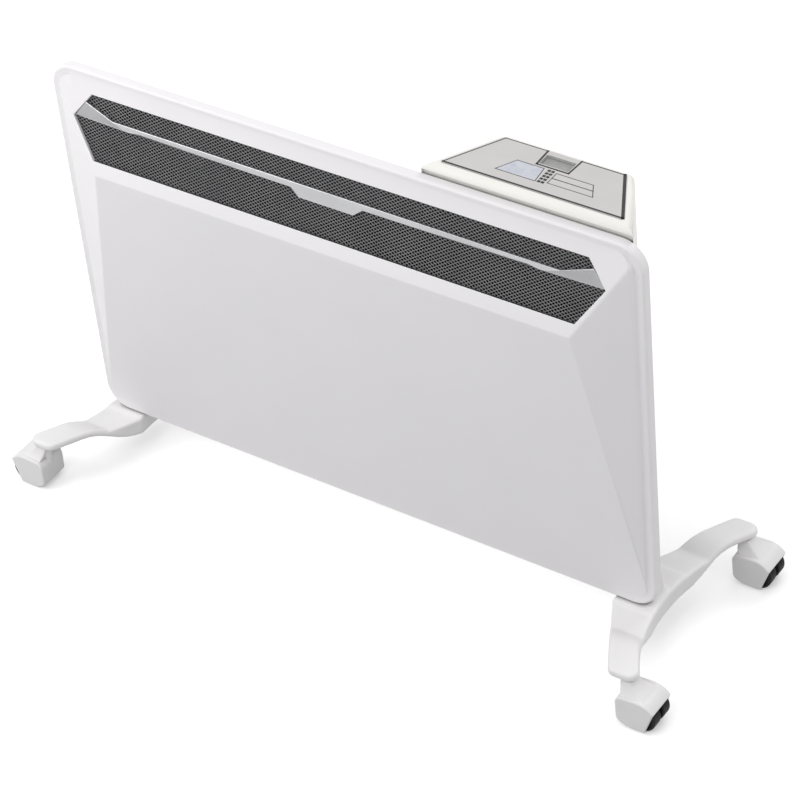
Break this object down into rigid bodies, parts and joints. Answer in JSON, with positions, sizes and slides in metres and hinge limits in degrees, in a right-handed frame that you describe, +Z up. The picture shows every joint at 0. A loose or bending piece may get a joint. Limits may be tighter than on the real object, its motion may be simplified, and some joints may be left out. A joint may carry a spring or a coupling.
{
  "type": "panel convector heater",
  "caption": "Flat convector heater with a hip-roofed front panel, a mesh air outlet with a bar, a control unit at the back of its top edge, and two feet on swivel casters.",
  "frame": {"origin": "on the floor, under the middle of the stand", "axes": "+X to the right seen from the front, the front faces -Y, +Z up"},
  "size_m": [0.747, 0.2498, 0.4732],
  "materials": {
    "white_paint": "satin powder coat",
    "mesh_charcoal": "satin",
    "bar_silver": "satin",
    "housing_white": "satin powder coat",
    "zinc_screws": "zinc plated",
    "element_aluminium": "extruded",
    "rod_steel": "drawn",
    "ceramic": "matt",
    "bracket_steel": "galvanised",
    "black_plastic": "fine grain",
    "unit_cream": "semi-gloss",
    "label_grey": "satin film",
    "window_glass": "clear",
    "display_dark": "glossy",
    "board_green": "solder mask",
    "foot_white": "semi-gloss",
    "hood_white": "semi-gloss",
    "pin_steel": "zinc plated",
    "wheel_black": "matt"
  },
  "bodies": {
    "heater": {"caster_stem_front_left": "pin_steel", "caster_stem_front_right": "pin_steel", "caster_stem_rear_left": "pin_steel", "caster_stem_rear_right": "pin_steel", "control_board": "board_green", "control_label": "label_grey", "cord_inlet": "black_plastic", "display_module": "display_dark", "display_window": "window_glass", "element_bracket_left": "bracket_steel", "element_bracket_right": "bracket_steel", "element_bush_left": "ceramic", "element_bush_right": "ceramic", "foot_left": "foot_white", "foot_right": "foot_white", "foot_screws": "zinc_screws", "front_panel": "white_paint", "heat_shield": "bracket_steel", "heater_rod": "rod_steel", "heating_element": "element_aluminium", "outlet_bar": "bar_silver", "outlet_mesh": "mesh_charcoal", "panel_screws": "zinc_screws", "power_board": "board_green", "rear_housing": "housing_white", "rocker_frame": "black_plastic", "terminal_block": "black_plastic", "thermal_cutout": "black_plastic", "tilt_switch": "black_plastic", "unit_base": "unit_cream", "unit_casing": "unit_cream"},
    "rocker": {"rocker": "black_plastic"},
    "caster_front_left": {"caster_hood_front_left": "hood_white", "caster_axle_front_left": "pin_steel"},
    "caster_front_right": {"caster_hood_front_right": "hood_white", "caster_axle_front_right": "pin_steel"},
    "caster_rear_left": {"caster_hood_rear_left": "hood_white", "caster_axle_rear_left": "pin_steel"},
    "caster_rear_right": {"caster_hood_rear_right": "hood_white", "caster_axle_rear_right": "pin_steel"},
    "wheel_front_left_1": {"wheel_front_left_1": "wheel_black"},
    "wheel_front_left_2": {"wheel_front_left_2": "wheel_black"},
    "wheel_front_right_1": {"wheel_front_right_1": "wheel_black"},
    "wheel_front_right_2": {"wheel_front_right_2": "wheel_black"},
    "wheel_rear_left_1": {"wheel_rear_left_1": "wheel_black"},
    "wheel_rear_left_2": {"wheel_rear_left_2": "wheel_black"},
    "wheel_rear_right_1": {"wheel_rear_right_1": "wheel_black"},
    "wheel_rear_right_2": {"wheel_rear_right_2": "wheel_black"}
  },
  "joints": [
    {"name": "rocker_tilt", "type": "hinge", "parent": "heater", "child": "rocker", "pos_m": [0.1276, 0.04004, 0.392], "axis": [0, 0, 1], "range_deg": [-7, 7]},
    {"name": "swivel_front_left", "type": "hinge", "parent": "heater", "child": "caster_front_left", "pos_m": [-0.338, -0.108, 0.04], "axis": [0, 0, 1], "continuous": true},
    {"name": "roll_front_left_1", "type": "hinge", "parent": "caster_front_left", "child": "wheel_front_left_1", "pos_m": [-0.357, -0.108, 0.0165], "axis": [0, 1, 0], "continuous": true},
    {"name": "roll_front_left_2", "type": "hinge", "parent": "caster_front_left", "child": "wheel_front_left_2", "pos_m": [-0.357, -0.108, 0.0165], "axis": [0, 1, 0], "continuous": true},
    {"name": "swivel_front_right", "type": "hinge", "parent": "heater", "child": "caster_front_right", "pos_m": [0.338, -0.108, 0.04], "axis": [0, 0, 1], "continuous": true},
    {"name": "roll_front_right_1", "type": "hinge", "parent": "caster_front_right", "child": "wheel_front_right_1", "pos_m": [0.357, -0.108, 0.0165], "axis": [0, 1, 0], "continuous": true},
    {"name": "roll_front_right_2", "type": "hinge", "parent": "caster_front_right", "child": "wheel_front_right_2", "pos_m": [0.357, -0.108, 0.0165], "axis": [0, 1, 0], "continuous": true},
    {"name": "swivel_rear_left", "type": "hinge", "parent": "heater", "child": "caster_rear_left", "pos_m": [-0.338, 0.108, 0.04], "axis": [0, 0, 1], "continuous": true},
    {"name": "roll_rear_left_1", "type": "hinge", "parent": "caster_rear_left", "child": "wheel_rear_left_1", "pos_m": [-0.357, 0.108, 0.0165], "axis": [0, 1, 0], "continuous": true},
    {"name": "roll_rear_left_2", "type": "hinge", "parent": "caster_rear_left", "child": "wheel_rear_left_2", "pos_m": [-0.357, 0.108, 0.0165], "axis": [0, 1, 0], "continuous": true},
    {"name": "swivel_rear_right", "type": "hinge", "parent": "heater", "child": "caster_rear_right", "pos_m": [0.338, 0.108, 0.04], "axis": [0, 0, 1], "continuous": true},
    {"name": "roll_rear_right_1", "type": "hinge", "parent": "caster_rear_right", "child": "wheel_rear_right_1", "pos_m": [0.357, 0.108, 0.0165], "axis": [0, 1, 0], "continuous": true},
    {"name": "roll_rear_right_2", "type": "hinge", "parent": "caster_rear_right", "child": "wheel_rear_right_2", "pos_m": [0.357, 0.108, 0.0165], "axis": [0, 1, 0], "continuous": true}
  ]
}
